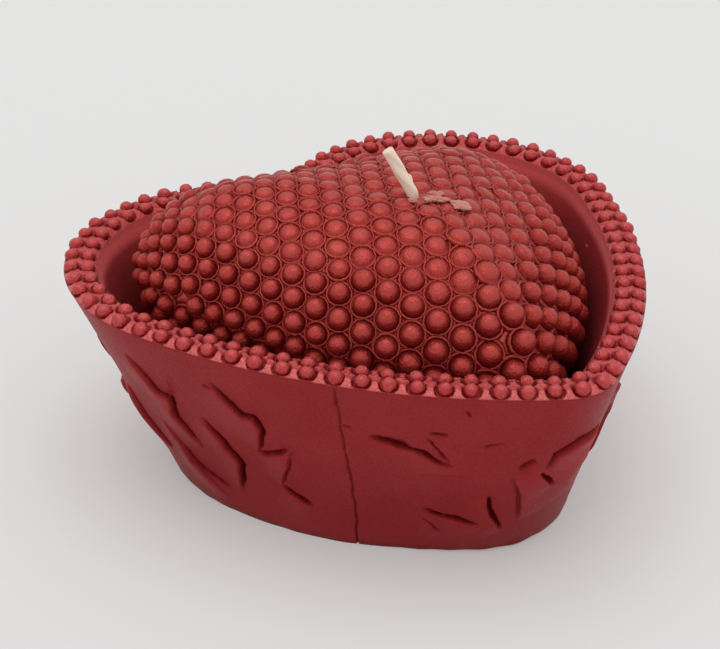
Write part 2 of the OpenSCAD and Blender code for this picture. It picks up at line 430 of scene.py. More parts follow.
def wax(name, shade_tint, face, pale_tone_and_sheen, metallic, roughness, grain, pits, cloud_amount, bump):
    """Pearly wax, with marks of painted shade and painted sheen on its mesh."""
    material = bpy.data.materials.new(name)
    material.use_nodes = True
    n = Nodes(material.node_tree)
    shader = n.tree.nodes["Principled BSDF"]
    place = n.add("ShaderNodeTexCoord").outputs["Object"]
    hollow_mark = n.add("ShaderNodeAttribute", attribute_name="hollow").outputs["Fac"]
    painted_sheen_mark = n.add("ShaderNodeAttribute", attribute_name="painted_sheen").outputs["Fac"]
    grained = n.add("ShaderNodeGroup", node_tree=bpy.data.node_groups["wax_grain"])
    coloured = n.add("ShaderNodeGroup", node_tree=bpy.data.node_groups["wax_colour"])
    n.tree.links.new(place, grained.inputs["Place"])
    for label, value in (("Grain", grain), ("Pits", pits), ("Cloud", cloud_amount)):
        grained.inputs[label].default_value = value
    for label, value in (("ShadeTint", shade_tint), ("Face", face), ("PaleToneAndSheen", pale_tone_and_sheen)):
        coloured.inputs[label].default_value = (*value, 1)
    n.tree.links.new(grained.outputs["Mottle"], coloured.inputs["Mottle"])
    n.tree.links.new(hollow_mark, coloured.inputs["PaintedShade"])
    n.tree.links.new(painted_sheen_mark, coloured.inputs["PaintedSheen"])
    n.tree.links.new(coloured.outputs["Color"], shader.inputs["Base Color"])
    shine = n.math("MULTIPLY_ADD", grained.outputs["Sparkle"], -SPARKLE_GLOSS)
    shine.node.inputs[2].default_value = roughness + SPARKLE_BASE
    n.tree.links.new(shine, shader.inputs["Roughness"])
    shader.inputs["Metallic"].default_value = metallic
    glint = n.math("MULTIPLY_ADD", hollow_mark, -HOLLOW_GLINT_LOSS)
    glint.node.inputs[2].default_value = OPEN_GLINT
    n.tree.links.new(glint, shader.inputs["Specular IOR Level"])
    relief = n.add("ShaderNodeBump", {"Height": grained.outputs["Height"], "Distance": bump * MM})
    n.tree.links.new(relief.outputs["Normal"], shader.inputs["Normal"])
    return material


# In each wax the first colour is painted shade, and the third is both the pale end of the mottling and
# the painted sheen
dish_wax = wax(
    "dish_wax", shade_tint=(0.120, 0.003, 0.004), face=(0.290, 0.014, 0.017), pale_tone_and_sheen=(0.430, 0.050, 0.052),
    metallic=0.60, roughness=0.52, grain=0.55, pits=0.9, cloud_amount=0.5, bump=0.10,
)
rim_wax = wax(
    "rim_wax", shade_tint=(0.120, 0.004, 0.005), face=(0.450, 0.034, 0.036), pale_tone_and_sheen=(0.640, 0.130, 0.125),
    metallic=0.65, roughness=0.34, grain=1.0, pits=0.5, cloud_amount=0.7, bump=0.30,
)
candle_wax = wax(
    "candle_wax", shade_tint=(0.130, 0.004, 0.003), face=(0.400, 0.030, 0.024), pale_tone_and_sheen=(0.560, 0.100, 0.085),
    metallic=0.62, roughness=0.35, grain=0.9, pits=0.4, cloud_amount=0.7, bump=0.22,
)
print("materials", sorted(m.name for m in bpy.data.materials))

# %% [markdown]
# ## The dish
# The real dish is cast wax with a flared wall, a low relief of pointed leaves and one thin
# mould seam. It could be carved by sculpting, but then no leaf could be moved afterwards.
# Here the wall is a fine rolled grid, and each leaf edge is a short line on the unrolled wall:
# the wall sinks into a groove along the line and stands proud on one side of it. First come
# the sizes, in mm, and the places of the rim's beads, since the grid's columns follow them.

# %% Sizes of the dish
RIM_HEART = np.array([115, 104.2, 33, 12.1, 112, 3.7, 52.1])
FOOT_HEART = np.array([82.6, 73.4, 24.5, 19, 81, 4, 34.6])
DISH_H = 38.2
WALL = 6.1
FLOOR_T = 5.0
FLOOR_FILLET = 2.5
FOOT_BREAK = 0.8
# The rim's beads: radius, distance apart, distance in from the edge and height of the middle
BEAD_R = 1.40
BEAD_PITCH = 4.6
OUTER_ROW = 1.35
INNER_ROW = 4.35
OUTER_LIFT = 0.72
INNER_LIFT = 0.62
OUTER_PHASE = 10
INNER_PHASE = 2
PHASES = 20
LOOP_POINTS = 4000


def dish_heart(z):
    """The outside of the dish at a height."""
    return FOOT_HEART + (RIM_HEART - FOOT_HEART) * min(1, z / DISH_H)


def hollow_heart(z):
    """The inside of the dish at a height."""
    return inset(dish_heart(z), WALL)


def bead_spots(size, pitch, phase):
    """Bead places along a row, clockwise from the cleft. The phase is in twentieths of a pitch."""
    fine_loop = heart(size, LOOP_POINTS)
    total = np.linalg.norm(np.roll(fine_loop, -1, axis=0) - fine_loop, axis=1).sum()
    count = round(total / pitch)
    return heart(size, PHASES * count)[phase::PHASES]


outer_beads = bead_spots(inset(RIM_HEART, OUTER_ROW), BEAD_PITCH, OUTER_PHASE)
inner_beads = bead_spots(inset(RIM_HEART, INNER_ROW), BEAD_PITCH, INNER_PHASE)
all_beads = np.vstack([outer_beads, inner_beads])
COLUMNS_PER_BEAD = 8
COLUMNS = COLUMNS_PER_BEAD * len(outer_beads)
print("rim beads", len(outer_beads), "outer and", len(inner_beads), "inner")

# %% [markdown]
# ## Rows of the dish
# A potter's profile of a bowl runs from the middle of its foot, up the outside, over the rim
# and down the inside to the middle of the floor. The rows of the grid do the same. The rim is
# left as a shallow channel, which the rim band fills. Marks tell later steps which points are
# wall or inside, and how far round the wall each one is.

# %% Rows of the dish
WALL_ROWS = 68
INNER_ROWS = 9
CHANNEL = 1.0
LAND = 0.45
CAP_SHARES = (0.02, 0.3, 0.65)
FILLET_TURNS = (30, 60, 90)

rows = []
for share in CAP_SHARES:
    rows.append(level(heart(inset(dish_heart(0), FOOT_BREAK), COLUMNS) * share, 0))
rows.append(level(heart(inset(dish_heart(0), FOOT_BREAK), COLUMNS), 0))
wall_start = len(rows)
for z in np.linspace(FOOT_BREAK, DISH_H, WALL_ROWS):
    rows.append(level(heart(dish_heart(z), COLUMNS), z))
wall_end = len(rows)
for gap in (LAND, WALL - LAND):
    rows.append(level(heart(inset(RIM_HEART, gap), COLUMNS), DISH_H - CHANNEL))
inner_start = len(rows)
for z in np.linspace(DISH_H, FLOOR_T + FLOOR_FILLET, INNER_ROWS + 1):
    rows.append(level(heart(hollow_heart(z), COLUMNS), z))
for turn in FILLET_TURNS:
    step = FLOOR_FILLET * (1 - math.cos(math.radians(turn)))
    drop = FLOOR_FILLET * (1 - math.sin(math.radians(turn)))
    rows.append(level(heart(inset(hollow_heart(FLOOR_T + drop), step), COLUMNS), FLOOR_T + drop))
for share in CAP_SHARES[::-1]:
    rows.append(level(heart(inset(hollow_heart(FLOOR_T), FLOOR_FILLET), COLUMNS) * share, FLOOR_T))
rows = np.array(rows)

# %% Marks on the rows
HALF_RUN = 148.0
column_run = (0.5 - np.arange(COLUMNS) / COLUMNS) * 2 * HALF_RUN
run_mark = np.tile(column_run, (len(rows), 1))
wall_mark = np.zeros(rows.shape[:2])
wall_mark[wall_start:wall_end] = 1
inside_mark = np.zeros(rows.shape[:2])
inside_mark[inner_start:] = 1
dish_bm = rolled(rows, {"run": run_mark, "wall": wall_mark, "inside": inside_mark})
print("dish grid", rows.shape)

# %% [markdown]
# ## Leaves
# The leaves show as short sharp grooves, with soft wax standing proud beside them. They could
# be painted as a height map, but a line can be moved, mirrored and used again. Two drawings,
# a sprig and a spray, are made once. Round the rest of the wall they are repeated, moved
# along or mirrored, because nothing is known of the leaves there.

# %% Leaves drawn on the unrolled wall
SEAM_AT = -37.7
leaf_edges = []


def leaf_edge(line, depth, width, lift=0.0, fall=6.0):
    """A groove along a line on the unrolled wall, with the wall to its left lifted.

    The line is points (distance along the wall from the tip, height), in mm.
    """
    leaf_edges.append((np.array(line, float), depth, width, lift, fall))


def sprig(place):
    """Leaves that climb to the left of the seam. place turns drawn points into wall points."""
    leaf_edge(place([(-67.5, 14), (-70.5, 20.5), (-69, 25), (-71.5, 25.5), (-75, 32)]), 1.0, 0.30, 0.9, 4)
    leaf_edge(
        place([(-54.3, 18), (-51.8, 23.5), (-52.5, 26.5), (-54.5, 26.5), (-56, 28.5), (-59, 32.5)]),
        1.1, 0.32, 0.9, 5,
    )
    leaf_edge(place([(-58.8, 31.2), (-60.4, 31.0)]), 0.5, 0.3)
    leaf_edge(place([(-48, 20), (-51, 18.8), (-54.6, 17.8)]), 0.95, 0.26, 0.7, 4)
    leaf_edge(place([(-51.5, 11), (-48.3, 17.5), (-47.8, 19.8)]), 0.35, 0.22, 0.6, 3)
    leaf_edge(place([(-45.8, 8), (-51.6, 11)]), 0.9, 0.28, 0.6, 4)
    leaf_edge(place([(-61.9, 6.5), (-59.2, 13.5), (-61.5, 18.3), (-64.6, 22.5)]), 1.15, 0.36, 0.9, 4)
    leaf_edge(place([(-64.5, 6), (-70.5, 8.4), (-74, 12)]), 0.65, 0.26, 0.6, 4)
    leaf_edge(place([(-66, 4), (-72.5, 10), (-76, 17)]), 0.3, 0.25, 0.5, 4)
    leaf_edge(place([(-79, 9), (-82, 15), (-83.5, 21)]), 0.9, 0.34, 0.9, 4)


def spray(place):
    """Leaves between the seam and the tip."""
    leaf_edge(place([(-19.8, 21.2), (-26, 25.2), (-33.5, 27)]), 1.0, 0.34, 0.45, 4)
    leaf_edge(place([(-27, 25.9), (-33.3, 27.3)]), 0.7, 0.6)
    leaf_edge(place([(-21.2, 29.3), (-24, 29.2)]), 0.8, 0.32)
    leaf_edge(place([(-24.3, 28.2), (-20.4, 22.6)]), 0.6, 0.24, 0.25, 3)
    leaf_edge(place([(-18.8, 35.2), (-18, 33.6)]), 0.5, 0.25)
    leaf_edge(place([(-15.3, 26.6), (-12.4, 27.8)]), 0.6, 0.24)
    leaf_edge(place([(-24.8, 19.6), (-17, 19.4)]), 0.16, 0.22, 0.25, 3)
    leaf_edge(place([(-13, 8), (-24.5, 10.4)]), 0.85, 0.28, 0.5, 4)
    leaf_edge(place([(-20.5, 5.5), (-24.5, 8.6)]), 0.35, 0.22, 0.3, 3)
    leaf_edge(place([(-8.8, 6.2), (-11.5, 10), (-12.9, 14.6)]), 0.9, 0.30, 0.7, 3.5)
    leaf_edge(place([(-8.8, 20.8), (-6, 23.2)]), 0.7, 0.7)
    leaf_edge(place([(-9.5, 19.5), (-7.4, 15), (-5.8, 8)]), 0.25, 0.28, 0.8, 4)
    leaf_edge(place([(6, 27.5), (1, 27), (-3, 24.5), (-3.9, 20.8)]), 1.0, 0.34, 0.9, 4.5)
    leaf_edge(place([(-1.4, 16.6), (-4.4, 19.9)]), 1.0, 0.34, 0.5, 3)
    leaf_edge(place([(5, 12), (2, 18), (4.5, 24)]), 0.8, 0.30, 0.9, 3.5)


def as_drawn(points):
    """Leaves a drawing where it is."""
    return points


def moved(shift, flip=1):
    """Repeats a drawing further along the wall, or mirrored."""
    def place(points):
        new = [(flip * s + shift, z) for s, z in points]
        return new if flip > 0 else new[::-1]
    return place


sprig(as_drawn)
spray(as_drawn)
sprig(moved(-40))
sprig(moved(0, -1))
spray(moved(22, -1))
sprig(moved(40, -1))
# The mould's seam, and a nick beside it, are drawn the same way
leaf_edge([(SEAM_AT, -30), (SEAM_AT + 0.3, 14), (SEAM_AT - 0.2, 27), (SEAM_AT, 75)], 0.42, 0.20)
leaf_edge([(SEAM_AT + 0.3, 29), (SEAM_AT + 1.6, 28.6)], 0.5, 0.25)
print("leaf edges", len(leaf_edges))

# %% [markdown]
# ## Relief of the wall
# A groove is a bell curve across its line, and the leaf beside it is a wider bell on one side
# only. Noise bends the lines, so that they look hand cut. Broad swellings under them stand
# for the body of the relief. Where grooves cross, their depths add up, so the sum is clamped.

# %% Relief of the wall
FINE_BAND = 0.55
DEEPEST = -1.35
FOOT_CLEAR = 0.05
SWELLINGS = [
    # run, height, half length, half height, lift
    (-50, 0, 30, 7, 1.5), (-47, 7, 8, 6, 0.5), (-84, 16, 4, 6, 0.6),
    (-14, 6, 9, 5, 0.7), (3, 20, 5, 8, 0.6), (47, 7, 8, 6, 0.9),
]
# Noise is given as height, size and seed. A line is bent along the wall and up it.
BROAD_WAVE = (0.13, 13.0, 3)
SMALL_WAVE = (0.05, 4.0, 4)
FOOT_WAVE = (0.35, 4.0, 8)
BENDS_ALONG = ((0.30, 2.4, 1), (0.12, 0.9, 6))
BENDS_UP = ((0.30, 2.4, 2), (0.12, 0.9, 7))
THICK_WAVE = (0.5, 1.8, 9)
FOOT_FADE = 2.5
RIM_FADE = 3.0
RIM_SHADE_FADE = 1.2
END_SHARPNESS = 4
LEAF_GAP = 0.8
SHADE_PER_DEPTH = 1.3
FAR = 1e9


def carved(run, up, places):
    """Relief, shade and distance to the nearest groove, at points of the wall."""
    relief = wave(places, *BROAD_WAVE) + wave(places, *SMALL_WAVE)
    relief += wave(places, *FOOT_WAVE) * (1 - smooth(0.0, FOOT_FADE, up))
    for at_run, at_up, long, high, lift in SWELLINGS:
        relief += lift * np.exp(-((run - at_run) / long) ** 2 - ((up - at_up) / high) ** 2)
    bent_run = run + wave(places, *BENDS_ALONG[0]) + wave(places, *BENDS_ALONG[1])
    bent_up = up + wave(places, *BENDS_UP[0]) + wave(places, *BENDS_UP[1])
    thick = 1 + wave(places, *THICK_WAVE)
    shade = np.zeros_like(relief)
    closest = np.full(relief.shape, FAR)
    for points, depth, width, lift, fall in leaf_edges:
        lengths = np.linalg.norm(np.diff(points, axis=0), axis=1)
        near = np.full(relief.shape, FAR)
        share = np.zeros_like(near)
        side = np.zeros_like(near)
        for i, length in enumerate(lengths):
            step = (points[i + 1] - points[i]) / length
            dx, dz = bent_run - points[i][0], bent_up - points[i][1]
            t = np.clip(dx * step[0] + dz * step[1], 0, length)
            gap = np.hypot(dx - t * step[0], dz - t * step[1])
            closer = gap < near
            near = np.where(closer, gap, near)
            share = np.where(closer, (lengths[:i].sum() + t) / lengths.sum(), share)
            side = np.where(closer, step[0] * dz - step[1] * dx, side)
        taper = 1 - np.abs(2 * share - 1) ** END_SHARPNESS
        cut_in = taper * np.exp(-(near / (width * thick)) ** 2)
        away = 1 - np.exp(-(near / (LEAF_GAP * width)) ** 2)
        flesh = taper * np.exp(-(near / fall) ** 2) * away * (side > 0)
        relief += lift * flesh - depth * cut_in
        shade = np.maximum(shade, cut_in * min(1, depth * SHADE_PER_DEPTH))
        closest = np.minimum(closest, near)
    relief = np.maximum(relief, DEEPEST) * smooth(0.0, RIM_FADE, DISH_H - up)
    shade *= smooth(0.0, RIM_SHADE_FADE, DISH_H - up)
    return relief, shade, closest

# %% [markdown]
# ## Carving the wall
# A groove is narrower than a face of the grid, so the faces next to a groove are cut finer
# first, which costs far less than a finer grid all over. Then each point of the wall moves
# along its normal. The same pass stores two marks: painted shade, in the grooves and at the
# foot, and a painted sheen, where the relief stands proud.

# %% Finer faces at the grooves
FINE_CUTS = 2
SEAM_MARGIN = 3


def wall_points(least):
    """Points of the wall, their places and their distances along it."""
    found = [v for v in dish_bm.verts if v[wall_layer] > least]
    at = np.array([v.co[:] for v in found])
    return found, at, np.array([v[run_layer] for v in found])


hollow_layer = dish_bm.verts.layers.float.new("hollow")
painted_sheen_layer = dish_bm.verts.layers.float.new("painted_sheen")
run_layer = dish_bm.verts.layers.float["run"]
wall_layer = dish_bm.verts.layers.float["wall"]
inside_layer = dish_bm.verts.layers.float["inside"]
wall_verts, places, runs = wall_points(0.5)
_, _, closest = carved(runs, places[:, 2], places)
close = {
    v for v, gap, s in zip(wall_verts, closest, runs)
    if gap < FINE_BAND and abs(s) < HALF_RUN - SEAM_MARGIN
}
fine_faces = [f for f in dish_bm.faces if any(v in close for v in f.verts)]
fine_edges = {e for f in fine_faces for e in f.edges}
bmesh.ops.subdivide_edges(dish_bm, edges=list(fine_edges), cuts=FINE_CUTS, use_grid_fill=True)
dish_bm.normal_update()
print("faces cut finer", len(fine_faces))

# %% Carve the wall and mark it
# Painted shade darkens the foot in a broad band and in a thin line where it stands: amount, from, to
FOOT_BAND = (0.36, 0.0, 24.0)
FOOT_LINE = (0.40, 0.6, 1.8)
MOST_SHEEN = 0.45
SHEEN_PER_LIFT = 0.30
INSIDE_SHEEN = 0.85
INSIDE_RANGE = (4.0, 32.0)


def foot_shade(z, amount, low, high):
    """Darkness that fades out with height."""
    return amount * (1 - float(smooth(low, high, z)))


wall_verts, places, runs = wall_points(0.99)
relief, shade, _ = carved(runs, places[:, 2], places)
# Painted shade goes into the grooves and onto the foot, and a painted sheen onto proud relief
for v, lift, dark in zip(wall_verts, relief, shade):
    foot_dark = foot_shade(v.co.z, *FOOT_BAND) + foot_shade(v.co.z, *FOOT_LINE)
    v[hollow_layer] = min(1, float(dark) + foot_dark)
    v[painted_sheen_layer] = min(MOST_SHEEN, max(0, SHEEN_PER_LIFT * float(lift)))
    v.co += v.normal * float(lift)
    v.co.z = max(v.co.z, FOOT_CLEAR)
# The inside gets a painted sheen that grows towards the rim, where more light reaches it
for v in dish_bm.verts:
    if v[inside_layer] > 0.5:
        v[painted_sheen_layer] = INSIDE_SHEEN * float(smooth(*INSIDE_RANGE, v.co.z))
dish_shell = piece(dish_bm, "dish_shell", "dish", dish_wax)
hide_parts("dish")
print("relief from", round(relief.min(), 2), "to", round(relief.max(), 2), "mm")

# %% [markdown]
# ## The rim
# The rim was cast with the dish, but it is a band of its own here, so that it can have a finer
# grid than the wall. It rises in a slope from each edge to a crest. A round pocket is sunk in
# it for each bead, which leaves small triangles of slope between the beads. The pockets get
# painted shade, and the band between them a painted sheen, brightest on the outer slope.

# %% Rim band
RIM_COLUMNS = PHASES * len(outer_beads)
RIM_ROWS = 24
CREST = 1.05
SLOPE = 1.20
POCKET_R = 1.58
POCKET_SIDE = 0.30
POCKET_EDGE = 0.05
POCKET_DEPTH = 0.80
POCKET_SHADE = 0.60
WRINKLES = ((0.12, 1.1, 5), (0.14, 0.55, 6))
# How far the band's root is tucked into the channel, and how far its lip laps over the wall
ROOT_IN = 0.9
ROOT_DOWN = 0.8
LIP = 0.03
LIP_DOWN = 0.12


def rim_ring(gap, down):
    """A row of the rim band, a gap in from the edge and a distance below the rim."""
    return level(heart(inset(RIM_HEART, gap), RIM_COLUMNS), DISH_H - down)


rim_rows = [rim_ring(ROOT_IN, ROOT_DOWN), rim_ring(-LIP, LIP_DOWN)]
top_start = len(rim_rows)
across = np.linspace(LIP, WALL - LIP, RIM_ROWS)[:, None]
for gap in across[:, 0]:
    rim_rows.append(rim_ring(gap, 0))
top_end = len(rim_rows)
rim_rows.append(rim_ring(WALL + LIP, LIP_DOWN))
rim_rows.append(rim_ring(WALL - ROOT_IN, ROOT_DOWN))
rim_rows.append(rim_rows[0])
rim_rows = np.array(rim_rows)

# %% Pockets and wrinkles of the rim
SLOPE_GLINT = 0.65
BAND_SHEEN = 0.35
SLOPE_EDGE = 0.1

top = slice(top_start, top_end)
nearest = np.full(rim_rows[top].shape[:2], FAR)
for spot in all_beads:
    aside = rim_rows[top][..., 0] - spot[0]
    along = rim_rows[top][..., 1] - spot[1]
    nearest = np.minimum(nearest, np.hypot(aside, along))
pocket = 1 - smooth(POCKET_R - POCKET_EDGE, POCKET_R + POCKET_SIDE, nearest)
slope = np.clip(np.minimum(across, WALL - across) / SLOPE, 0, 1)
wrinkle = wave(rim_rows[top], *WRINKLES[0]) + wave(rim_rows[top], *WRINKLES[1])
rim_rows[top, :, 2] += (CREST + wrinkle) * slope * (1 - POCKET_DEPTH * pocket)
# Painted shade in each pocket, and a painted sheen on the band between, brightest on the outer slope
hollow = np.zeros(rim_rows.shape[:2])
painted_sheen = np.zeros(rim_rows.shape[:2])
hollow[top] = POCKET_SHADE * pocket
painted_sheen[top] = (1 - pocket) * (BAND_SHEEN + SLOPE_GLINT * (across < SLOPE + SLOPE_EDGE))
rim_bm = rolled(rim_rows, {"hollow": hollow, "painted_sheen": painted_sheen})
piece(rim_bm, "rim_band", "dish", rim_wax)

# %% [markdown]
# ## Rim beads
# Two rows of small beads run round the rim. They were cast with the dish, so no two are quite
# alike. Instances of one ball would be lighter, but they would all be the same, so each ball is
# drawn apart, with its own size, place and turn. Its underside, hidden in the pocket, is cut
# away and closed again. Numbers come from a seeded generator, so every run gives the same.

# %% Rim beads
BEAD_SIZES = (0.92, 1.05)
BEAD_SQUATS = (0.92, 1.0)
BEAD_DRIFT = 0.10
BEAD_LUMPS = 0.10
LUMP_SCALE = 0.6
BEAD_SINK = 0.5
UNDER_RANGE = (0.25, 1.3)
UNDER_SHADE = 0.55
CROWN_RANGE = (0.3, 1.3)
BEAD_CROWN_SHEEN = 0.45

rng = random.Random(7)
bm = bmesh.new()
hollow_layer = bm.verts.layers.float.new("hollow")
painted_sheen_layer = bm.verts.layers.float.new("painted_sheen")
lifts = [OUTER_LIFT] * len(outer_beads) + [INNER_LIFT] * len(inner_beads)
for (x, y), lift in zip(all_beads, lifts):
    ball = bmesh.ops.create_icosphere(bm, subdivisions=2, radius=BEAD_R)["verts"]
    spun = Matrix.Rotation(rng.uniform(0, math.tau), 4, "Z")
    size = rng.uniform(*BEAD_SIZES)
    squat = Matrix.Diagonal((size, size, size * rng.uniform(*BEAD_SQUATS), 1))
    spot = Vector((x + rng.gauss(0, BEAD_DRIFT), y + rng.gauss(0, BEAD_DRIFT), DISH_H + lift))
    # Painted shade on each bead's underside, and a painted sheen on its crown
    for v in ball:
        v[hollow_layer] = float(smooth(*UNDER_RANGE, -v.co.z)) * UNDER_SHADE
        v[painted_sheen_layer] = float(smooth(*CROWN_RANGE, v.co.z)) * BEAD_CROWN_SHEEN
    bmesh.ops.transform(bm, matrix=Matrix.Translation(spot) @ spun @ squat, verts=ball)
    hidden = [v for v in ball if v.co.z < DISH_H - BEAD_SINK]
    bmesh.ops.delete(bm, geom=hidden, context="VERTS")
for v in bm.verts:
    v.co += Vector(noise.noise_vector(v.co * LUMP_SCALE)) * BEAD_LUMPS
bmesh.ops.holes_fill(bm, edges=[e for e in bm.edges if e.is_boundary], sides=0)
piece(bm, "rim_beads", "dish", rim_wax)

# %% [markdown]
# ## The candle
# The candle is a heart-shaped dome, covered all over in beads. It starts as a smooth core of
# rings like the dish's. Sculpting would be quicker, but a core that is worked out leaves the
# gap to the dish exact, and the beads can ask it for the nearest point and its normal.

# %% Shape of the candle
SIDE_GAP = 4
BACK_GAP = 3
TIP_GAP = 5.5
FOOT_GAP = 2.5
BELLY_H = 28
DOME_H = 21.5
DOME_REACH = 30
CLEFT_REACH = 13
DOME_ROUND = 1.8
DOME_LEAN = math.tan(math.radians(4.5))
SIDE_CURVE = 1.2
CANDLE_TURN = math.radians(-2)
CANDLE_POINTS = 360
CANDLE_CAP = (0.02, 0.4, 0.8)
BELLY_ROWS = 13
DOME_ROWS = 37
DOME_SPOT = 0.01
DOME_CROWDING = 1.3

room = hollow_heart(FLOOR_T + BELLY_H)
BELLY_HEART = np.array([
    room[0] - 2 * SIDE_GAP, room[1] - BACK_GAP - TIP_GAP, 23, 9, 88, 6, room[6] - BACK_GAP,
])
CANDLE_FOOT = inset(hollow_heart(FLOOR_T), FLOOR_FILLET + FOOT_GAP)
belly_edge = heart(BELLY_HEART, CANDLE_POINTS)


def dome_height(gap, reach=DOME_REACH):
    """Height above the belly, at a distance in from its edge."""
    share = np.clip(gap / reach, 0, 1)
    return DOME_H * (1 - (1 - share) ** DOME_ROUND) ** (1 / DOME_ROUND)


filled_edge = belly_edge.copy()
between_lobes = np.abs(filled_edge[:, 0]) < BELLY_HEART[0] / 2 - BELLY_HEART[2]
filled_edge[between_lobes & (filled_edge[:, 1] > 0), 1] = BELLY_HEART[6]


def edge_gap(points, edge):
    """Distance of plan points from an outline."""
    gaps = np.linalg.norm(points[:, None, :] - edge[None, :, :], axis=-1)
    return gaps.min(axis=1)


def dome(points):
    """Height of the dome: it would ignore the cleft, but drops steeply next to it."""
    full = dome_height(edge_gap(points, filled_edge))
    return np.minimum(full, dome_height(edge_gap(points, belly_edge), CLEFT_REACH))


turn_to = np.array([[math.cos(CANDLE_TURN), math.sin(CANDLE_TURN)],
                    [-math.sin(CANDLE_TURN), math.cos(CANDLE_TURN)]])

# %% Core of the candle
candle_rows = [level(heart(CANDLE_FOOT, CANDLE_POINTS) * share, 0) for share in CANDLE_CAP]
for rise in np.linspace(0, 1, BELLY_ROWS)[:-1]:
    size = CANDLE_FOOT + (BELLY_HEART - CANDLE_FOOT) * (1 - (1 - rise) ** SIDE_CURVE)
    ring = heart(size, CANDLE_POINTS)
    candle_rows.append(np.c_[ring, rise * (BELLY_H - ring[:, 0] * DOME_LEAN)])
for turn in np.linspace(0, 90, DOME_ROWS):
    share = DOME_SPOT + (1 - DOME_SPOT) * math.cos(math.radians(turn)) ** DOME_CROWDING
    ring = belly_edge * share
    candle_rows.append(np.c_[ring, BELLY_H + dome(ring) - ring[:, 0] * DOME_LEAN])
candle_rows = np.array(candle_rows)
candle_rows[..., :2] = candle_rows[..., :2] @ turn_to
candle_rows[..., 2] += FLOOR_T
core_bm = rolled(candle_rows, {})
core_surface = BVHTree.FromBMesh(core_bm)
print("candle core", len(core_bm.verts), "points")

# %% [markdown]
# ## Where the beads sit
# The beads follow one honeycomb that was wrapped over the dome. A flat honeycomb projected
# from above would stretch on the sides, so this one is grown like a crystal: each bead offers
# six places round it, and a place is taken if no bead is there yet. Beads already near vote
# on where the new one goes. The spacing widens slowly towards the front, and beads that ended
# up crowded then push apart.

# %% Honeycomb of beads
SEED_SPOT = Vector((9.4, -14.5, 50.2))
ROW_HEADING = math.radians(-3)
LOWEST_BEAD = 10.0
UNDERSIDE = -0.75
CELL = 6
# Shares of the spacing: a place this near is taken, and beads this near are neighbours
TAKEN = 0.74
NEIGHBOUR = 1.35
SAME_PLACE = 0.3
# The spacing in mm: least, most, at the middle, and its change along X and Y
PITCH_LEAST = 4.6
PITCH_MOST = 6.1
PITCH_MIDDLE = 5.3
PITCH_ALONG = 0.013
PITCH_BACK = 0.022
PITCH_FROM = 8
HALF_PITCH = 2.6
PUSH_ROUNDS = 14
PUSH = 0.22
SIXTH = math.pi / 3


def pitch_at(p):
    """Distance between beads near a point."""
    wanted = PITCH_MIDDLE + PITCH_ALONG * p.x - PITCH_BACK * (p.y + PITCH_FROM)
    return min(PITCH_MOST, max(PITCH_LEAST, wanted))


def on_core(p):
    """Nearest point and normal on the candle's core."""
    place, normal, _, _ = core_surface.find_nearest(p)
    return place, normal


start, start_normal = on_core(SEED_SPOT)
way = Vector((math.cos(ROW_HEADING), math.sin(ROW_HEADING), 0))
beads = [(start, start_normal, (way - start_normal * way.dot(start_normal)).normalized())]
cells = {}


def cell_of(p):
    """The cell of a coarse lattice that holds a point."""
    return (int(p.x // CELL), int(p.y // CELL), int(p.z // CELL))


def around(p):
    """Indexes of beads in the cells round a point."""
    cx, cy, cz = cell_of(p)
    for i in (cx - 1, cx, cx + 1):
        for j in (cy - 1, cy, cy + 1):
            for k in (cz - 1, cz, cz + 1):
                yield from cells.get((i, j, k), ())


# %% Growing the honeycomb
cells.setdefault(cell_of(start), []).append(0)
front = [(0.0, 0)]
while front:
    _, index = heapq.heappop(front)
    place, normal, way = beads[index]
    for side in range(6):
        aim = Matrix.Rotation(side * SIXTH, 3, normal) @ way
        pitch = pitch_at(place + aim * HALF_PITCH)
        guess, guess_normal = on_core(place + aim * pitch)
        if guess.z < LOWEST_BEAD or guess_normal.z < UNDERSIDE:
            continue
        close = [i for i in around(guess) if (beads[i][0] - guess).length < NEIGHBOUR * pitch]
        if any((beads[i][0] - guess).length < TAKEN * pitch for i in close):
            continue
        votes = []
        for i in close:
            other, other_normal, other_way = beads[i]
            for k in range(6):
                reach = Matrix.Rotation(k * SIXTH, 3, other_normal) @ other_way
                vote = other + reach * pitch
                if (vote - guess).length < SAME_PLACE * pitch:
                    votes.append(vote)
        if votes:
            guess, guess_normal = on_core(sum(votes, Vector()) / len(votes))
        if any((beads[i][0] - guess).length < TAKEN * pitch for i in around(guess)):
            continue
        new_way = (way - guess_normal * way.dot(guess_normal)).normalized()
        beads.append((guess, guess_normal, new_way))
        cells.setdefault(cell_of(guess), []).append(len(beads) - 1)
        heapq.heappush(front, ((guess - start).length, len(beads) - 1))

# %% Pushing crowded beads apart
spots = [b[0] for b in beads]
for _ in range(PUSH_ROUNDS):
    tree = KDTree(len(spots))
    for i, p in enumerate(spots):
        tree.insert(p, i)
    tree.balance()
    pushed = []
    for i, p in enumerate(spots):
        pitch = pitch_at(p)
        push = Vector()
        for q, j, gap in tree.find_range(p, pitch):
            if j != i:
                push += (p - q).normalized() * (pitch - gap) * PUSH
        pushed.append(on_core(p + push)[0])
    spots = pushed
print("places for candle beads", len(spots))

# %% [markdown]
# ## Beads in their rings
# Each bead is a small dome in a groove with a thin ring of wax round it. A plain ball would
# miss the groove and the ring, so half a section of all three is drawn once and spun round.
# On the steep sides the beads stand proud as balls. On the level top they were cast softer:
# flatter, wider, and drawn out a little along their columns.

